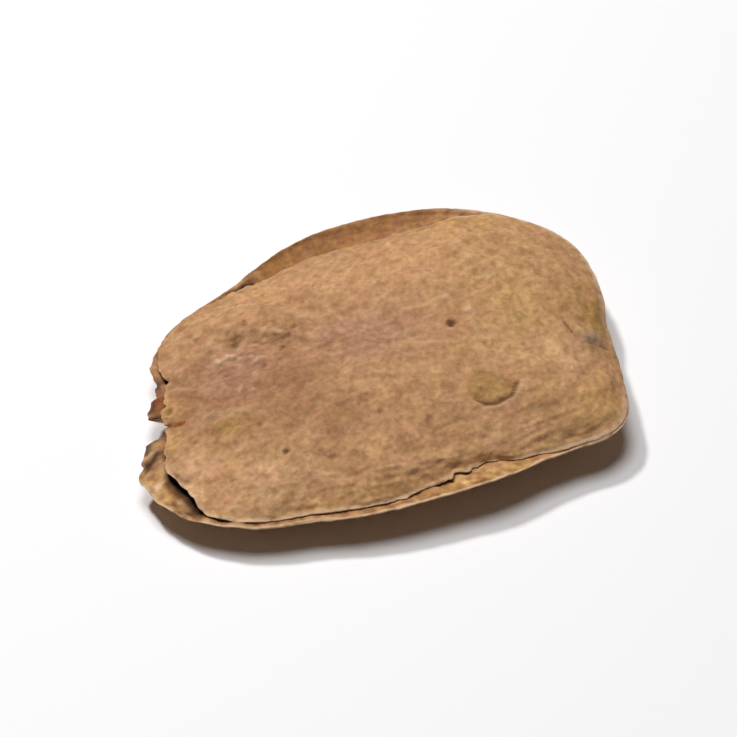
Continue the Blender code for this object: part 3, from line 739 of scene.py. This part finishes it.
class Finish:
    """A material being made: its nodes, and the Principled shader that they feed."""

    def __init__(self, name):
        self.material = bpy.data.materials.new(name)
        self.material.use_nodes = True
        self.tree = self.material.node_tree
        self.shader = self.tree.nodes["Principled BSDF"]

    def node(self, kind, settings=None, sockets=None, output=0):
        """Adds a node, sets it, feeds its sockets with values or links, and gives one of its outputs."""
        made = self.tree.nodes.new(kind)
        for name, setting in (settings or {}).items():
            setattr(made, name, setting)
        for key, value in (sockets or {}).items():
            self.feed(made.inputs[key], value)
        return Value(self, made.outputs[output])

    def feed(self, socket, value):
        """Links a value to a socket, or sets the socket to a plain number, colour or place."""
        if isinstance(value, Value):
            self.tree.links.new(value.socket, socket)
        else:
            socket.default_value = value

    def read(self, attribute):
        """The number that the mesh carries under a name."""
        return self.node("ShaderNodeAttribute", {"attribute_name": attribute}, output=2)

    def lumps(self, place, size, detail=2.0, roughness=0.5):
        """Noise from 0 to 1 with lumps of about the given size in metres."""
        sockets = {"Vector": place, "Scale": 1 / size, "Detail": detail, "Roughness": roughness}
        return self.node("ShaderNodeTexNoise", {}, sockets)

    def step(self, value, low, high):
        """A soft step from 0 where value is low to 1 where it is high."""
        sockets = {"Value": value, "From Min": low, "From Max": high}
        return self.node("ShaderNodeMapRange", {"interpolation_type": "SMOOTHSTEP"}, sockets)

    def tint(self, base, colour, share, blend="MIX"):
        """The base colour, mixed with another by a share."""
        sockets = {0: share, 6: base, 7: colour}
        return self.node("ShaderNodeMix", {"data_type": "RGBA", "blend_type": blend}, sockets, output=2)

    def spots(self, place, features, shift, gain):
        """Oval spots a little wider than the pits or bumps they cover: 0 outside, up to 1 in deep ones."""
        total = 0.0
        for middle_x, middle_y, reach_x, reach_y, depth in features:
            scale = (1 / (1.35 * reach_x + 0.05), 1 / (1.35 * reach_y + 0.08), 1.0)
            middle = (-(middle_x + shift[0]) * scale[0], -(middle_y + shift[1]) * scale[1], 0.0)
            near = self.node("ShaderNodeMapping", {}, {"Vector": place, "Location": middle, "Scale": scale})
            ball = {"gradient_type": "SPHERICAL"}
            near = self.node("ShaderNodeTexGradient", ball, {"Vector": near}, output=1)
            total = total + self.step(near, 0.0, 0.82) * min(1.0, gain * depth**1.5)
        return total

    def bump(self, height, depth, below=None):
        """Fine relief from a pattern, as deep as depth in metres, on top of the relief below it."""
        sockets = {"Height": height, "Distance": depth, "Strength": 1.0}
        if below is not None:
            sockets["Normal"] = below
        return self.node("ShaderNodeBump", {}, sockets)


# The colours that the coat's grain mixes in, or multiplies it by. The first is a painted highlight on bumps,
# ridges and lips, the second both darkens the pores and paints shade in creases, and the third paints shade
# in pits
PALE_HIGHLIGHT = (0.700, 0.490, 0.320, 1.0)
PORE_AND_CREASE_SHADE = (0.130, 0.052, 0.018, 1.0)
PIT_SHADE = (0.080, 0.031, 0.011, 1.0)
LIGHTER = (1.28, 1.31, 1.35, 1.0)
DARKER = (0.65, 0.57, 0.48, 1.0)
ROSIER = (1.02, 0.95, 1.01, 1.0)
YELLOWER = (1.01, 1.02, 0.93, 1.0)

# How wide the lumps of each pattern are
BLOTCH = 1.5 * MM
TINGE = 1.2 * MM
MOTTLE = 0.80 * MM
FIBRE = 0.60 * MM
PORE_SPACING = 0.46 * MM
SPECKLE = 0.42 * MM
WANDER = 0.28 * MM
GRIT = 0.20 * MM
WANDER_BY = (0.33, 0.33, 0.0)  # how far the edges of pits and bumps stray, in millimetres

coat_finish = Finish("dry_leathery_coat")
here = coat_finish.node("ShaderNodeTexCoord", output=3)
along = coat_finish.node("ShaderNodeAttribute", {"attribute_name": "grain"}, output=1)
blotches = coat_finish.lumps(here, BLOTCH, detail=3.0, roughness=0.6)
tinges = coat_finish.lumps(here, TINGE, detail=2.0, roughness=0.6)
mottle = coat_finish.lumps(here, MOTTLE, detail=1.0, roughness=0.5)
speckle = coat_finish.lumps(here, SPECKLE, detail=1.0, roughness=0.4)
grit = coat_finish.lumps(here, GRIT, detail=1.0, roughness=0.5)
fibres = coat_finish.lumps(along, FIBRE, detail=1.0, roughness=0.5)
pore = coat_finish.step(coat_finish.lumps(here, PORE_SPACING, detail=0.0), 0.73, 0.84)
pale_grain = coat_finish.step(coat_finish.lumps(here, PORE_SPACING, detail=0.0), 0.68, 0.80)
over_face = coat_finish.node("ShaderNodeAttribute", {"attribute_name": "over_face"}, output=1)
wander = coat_finish.node(
    "ShaderNodeTexNoise", {}, {"Vector": here, "Scale": 1 / WANDER, "Detail": 1.0}, output=1
)
wandering = coat_finish.node(
    "ShaderNodeVectorMath", {"operation": "MULTIPLY_ADD"}, {0: wander, 1: WANDER_BY, 2: over_face}
)
# The holes are painted shade in the pits, and the glints painted highlights on the bumps. The shifts take
# back the wander's mean. The glints' one also moves them towards the key lamp.
pit_shade = coat_finish.spots(wandering, PITS, shift=(0.165, 0.165), gain=9.0)
glints = coat_finish.spots(wandering, BUMPS, shift=(0.115, 0.255), gain=8.0)

colour = coat_finish.node("ShaderNodeAttribute", {"attribute_name": "stains_and_shade"}, output=0)
colour = coat_finish.tint(colour, ROSIER, coat_finish.step(tinges, 0.50, 0.70), "MULTIPLY")
colour = coat_finish.tint(colour, YELLOWER, coat_finish.step(1 - tinges, 0.50, 0.70), "MULTIPLY")
# Each pattern, the values between which it comes in, and how far it lightens and darkens the coat
for pattern, low, high, light, dark in (
    (blotches, 0.46, 0.72, 0.40, 0.36),
    (mottle, 0.46, 0.74, 0.42, 0.36),
    (speckle, 0.46, 0.76, 0.46, 0.40),
    (grit, 0.48, 0.80, 0.24, 0.22),
    (fibres, 0.48, 0.78, 0.10, 0.09),
):
    colour = coat_finish.tint(colour, LIGHTER, coat_finish.step(pattern, low, high) * light, "MULTIPLY")
    colour = coat_finish.tint(colour, DARKER, coat_finish.step(1 - pattern, low, high) * dark, "MULTIPLY")
colour = coat_finish.tint(colour, LIGHTER, pale_grain * 0.70, "MULTIPLY")
# Painted highlights on what stands proud
colour = coat_finish.tint(colour, PALE_HIGHLIGHT, coat_finish.read("painted_highlight") * 0.45)
colour = coat_finish.tint(colour, PALE_HIGHLIGHT, glints * 0.68)
# Painted shade in the creases and the pits, then the pores' own dark
colour = coat_finish.tint(colour, PORE_AND_CREASE_SHADE, coat_finish.step(coat_finish.read("crease_shade"), 0.10, 1.2) * 0.85)
colour = coat_finish.tint(colour, PIT_SHADE, pit_shade * 0.80)
colour = coat_finish.tint(colour, PORE_AND_CREASE_SHADE, pore * 0.28)
# A painted highlight along the lips
lip_highlight = coat_finish.read("lip") * coat_finish.step(mottle, 0.20, 0.55)
colour = coat_finish.tint(colour, PALE_HIGHLIGHT, lip_highlight * 0.85)

roughness = 0.78 + 0.12 * mottle + 0.08 * speckle
surface = coat_finish.bump(mottle, 0.12 * MM)
surface = coat_finish.bump(speckle, 0.055 * MM, below=surface)
surface = coat_finish.bump(fibres, 0.014 * MM, below=surface)
surface = coat_finish.bump(grit, 0.010 * MM, below=surface)
surface = coat_finish.bump(pale_grain - pore, 0.020 * MM, below=surface)

coat_finish.feed(coat_finish.shader.inputs["Base Color"], colour)
coat_finish.feed(coat_finish.shader.inputs["Roughness"], roughness)
coat_finish.feed(coat_finish.shader.inputs["Normal"], surface)
coat_finish.shader.inputs["Specular IOR Level"].default_value = 0.22
coat_finish.shader.inputs["Sheen Weight"].default_value = 0.05
coat_finish.shader.inputs["Sheen Roughness"].default_value = 0.55
coat_finish.shader.inputs["Sheen Tint"].default_value = (0.95, 0.85, 0.75, 1.0)
bean.data.materials.append(coat_finish.material)

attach(bean, "root")
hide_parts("bean")

# ---------------------------------------------------------------------------------------------------------
# The table: a wide, smooth, nearly white top, such as painted board. It only stands for the ground that the
# bean lies on, so it is staged.

TABLE = 3.0
WHITE, COOLER_WHITE = (0.90, 0.90, 0.91, 1.0), (0.86, 0.86, 0.88, 1.0)
HAZE = 0.12  # how wide its faint clouds are

bpy.ops.object.select_all(action="DESELECT")
bpy.ops.mesh.primitive_plane_add(size=TABLE, location=(0.0, 0.0, 0.0))
table = bpy.context.object
table.name = "table_top"
paint = Finish("white_table")
haze = paint.lumps(paint.node("ShaderNodeTexCoord", output=3), HAZE)
paint.feed(paint.shader.inputs["Base Color"], paint.tint(COOLER_WHITE, WHITE, haze))
paint.feed(paint.shader.inputs["Roughness"], 0.55 + 0.1 * haze)
table.data.materials.append(paint.material)

# ---------------------------------------------------------------------------------------------------------
# The light: a dim, warm room, a wide soft lamp overhead, and a smaller one behind to the left that gives the
# bean its shadow in front.


def lamp(name, place, size, power):
    """A round white lamp, as wide as its size in metres, that faces the middle of the table."""
    light = bpy.data.lights.new(name, "AREA")
    light.shape = "DISK"
    light.size = size
    light.energy = power
    holder = bpy.data.objects.new(name, light)
    holder.location = place
    holder.rotation_euler = (-Vector(place)).to_track_quat("-Z", "Y").to_euler()
    bpy.context.scene.collection.objects.link(holder)


lamp("key_lamp", place=(-0.08, 0.19, 0.38), size=0.05, power=1.07)
lamp("ceiling_lamp", place=(0.0, 0.08, 0.50), size=0.22, power=1.43)

room = bpy.data.worlds.new("white_room")
room.use_nodes = True
walls = room.node_tree.nodes["Background"]
walls.inputs["Color"].default_value = (1.0, 0.88, 0.76, 1.0)
walls.inputs["Strength"].default_value = 0.050
bpy.context.scene.world = room
bpy.context.scene.view_settings.view_transform = "Standard"

# ---------------------------------------------------------------------------------------------------------
# The camera looks down on the bean from the front and a little to the left, from far enough away to show it
# with little perspective.

CAMERA_TURN = math.radians(-20.0)
CAMERA_TILT = math.radians(50.0)
CAMERA_AWAY = 0.42
FRAME_SIZE = 0.0545  # the width of the view where the bean lies
AIM_BESIDE = (0.07 * MM, -0.11 * MM, 0.0)  # how far from the bean's middle it is aimed

target = Vector([(a + b) / 2 for a, b in zip(lowest, highest)]) + Vector(AIM_BESIDE)
back = Vector((
    math.sin(CAMERA_TURN) * math.cos(CAMERA_TILT),
    -math.cos(CAMERA_TURN) * math.cos(CAMERA_TILT),
    math.sin(CAMERA_TILT),
))  # fmt: skip
camera_data = bpy.data.cameras.new("camera")
camera_data.sensor_width = 36.0
camera_data.lens = camera_data.sensor_width * CAMERA_AWAY / FRAME_SIZE
camera_data.clip_start = 0.01
camera = bpy.data.objects.new("camera", camera_data)
camera.location = target + back * CAMERA_AWAY
camera.rotation_euler = back.to_track_quat("Z", "Y").to_euler()
bpy.context.scene.collection.objects.link(camera)
bpy.context.scene.camera = camera
